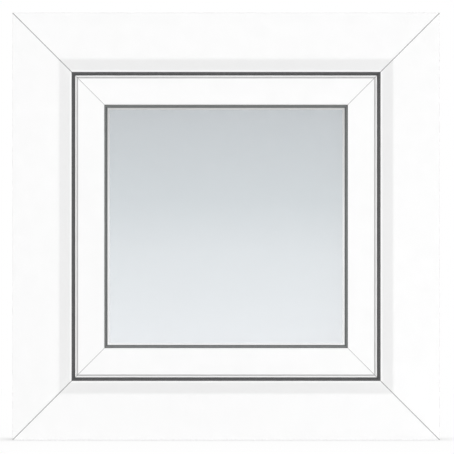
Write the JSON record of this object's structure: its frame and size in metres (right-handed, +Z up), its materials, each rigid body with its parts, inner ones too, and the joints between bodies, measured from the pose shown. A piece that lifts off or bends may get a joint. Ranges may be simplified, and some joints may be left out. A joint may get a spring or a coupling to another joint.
{
  "type": "pvc window",
  "caption": "Square white PVC window: a mitred outer frame with a recessed inward-opening sash, double glazing, dark gaskets, handle and hinges.",
  "frame": {"origin": "middle of the underside of the frame, on the centre foot that rests on the sill", "axes": "+Z up, -Y towards the outside of the building (the side in the picture), +Y into the room, +X to the right as seen from outside"},
  "size_m": [0.55, 0.1335, 0.55],
  "materials": {
    "frame_pvc": "white rigid PVC, semi-gloss",
    "sash_pvc": "white rigid PVC, semi-gloss",
    "bead_pvc": "white rigid PVC, semi-gloss",
    "frame_gasket_rubber": "dark grey weather seal",
    "glazing_gasket_rubber": "grey glazing seal",
    "glass": "clear float glass",
    "spacer_aluminium": "mill aluminium",
    "edge_sealant": "black sealant",
    "block_plastic": "moulded plastic",
    "galvanised_steel": "galvanised",
    "handle_white": "white powder coat",
    "hinge_white": "white powder coat"
  },
  "bodies": {
    "root": {"edge_seal": "edge_sealant", "frame_bottom": "frame_pvc", "frame_gasket": "frame_gasket_rubber", "frame_left": "frame_pvc", "frame_reinforcement": "galvanised_steel", "frame_right": "frame_pvc", "frame_top": "frame_pvc", "glazing_bead_bottom": "bead_pvc", "glazing_bead_left": "bead_pvc", "glazing_bead_right": "bead_pvc", "glazing_bead_top": "bead_pvc", "glazing_blocks": "block_plastic", "handle_lever": "handle_white", "handle_rose": "handle_white", "inner_glazing_gasket": "glazing_gasket_rubber", "inner_pane": "glass", "locking_faceplate": "galvanised_steel", "lower_hinge_frame_part": "hinge_white", "lower_hinge_sash_part": "hinge_white", "outer_glazing_gasket": "glazing_gasket_rubber", "outer_pane": "glass", "sash_bottom": "sash_pvc", "sash_gasket": "frame_gasket_rubber", "sash_left": "sash_pvc", "sash_reinforcement": "galvanised_steel", "sash_right": "sash_pvc", "sash_top": "sash_pvc", "spacer_bar": "spacer_aluminium", "upper_hinge_frame_part": "hinge_white", "upper_hinge_sash_part": "hinge_white"}
  },
  "joints": []
}
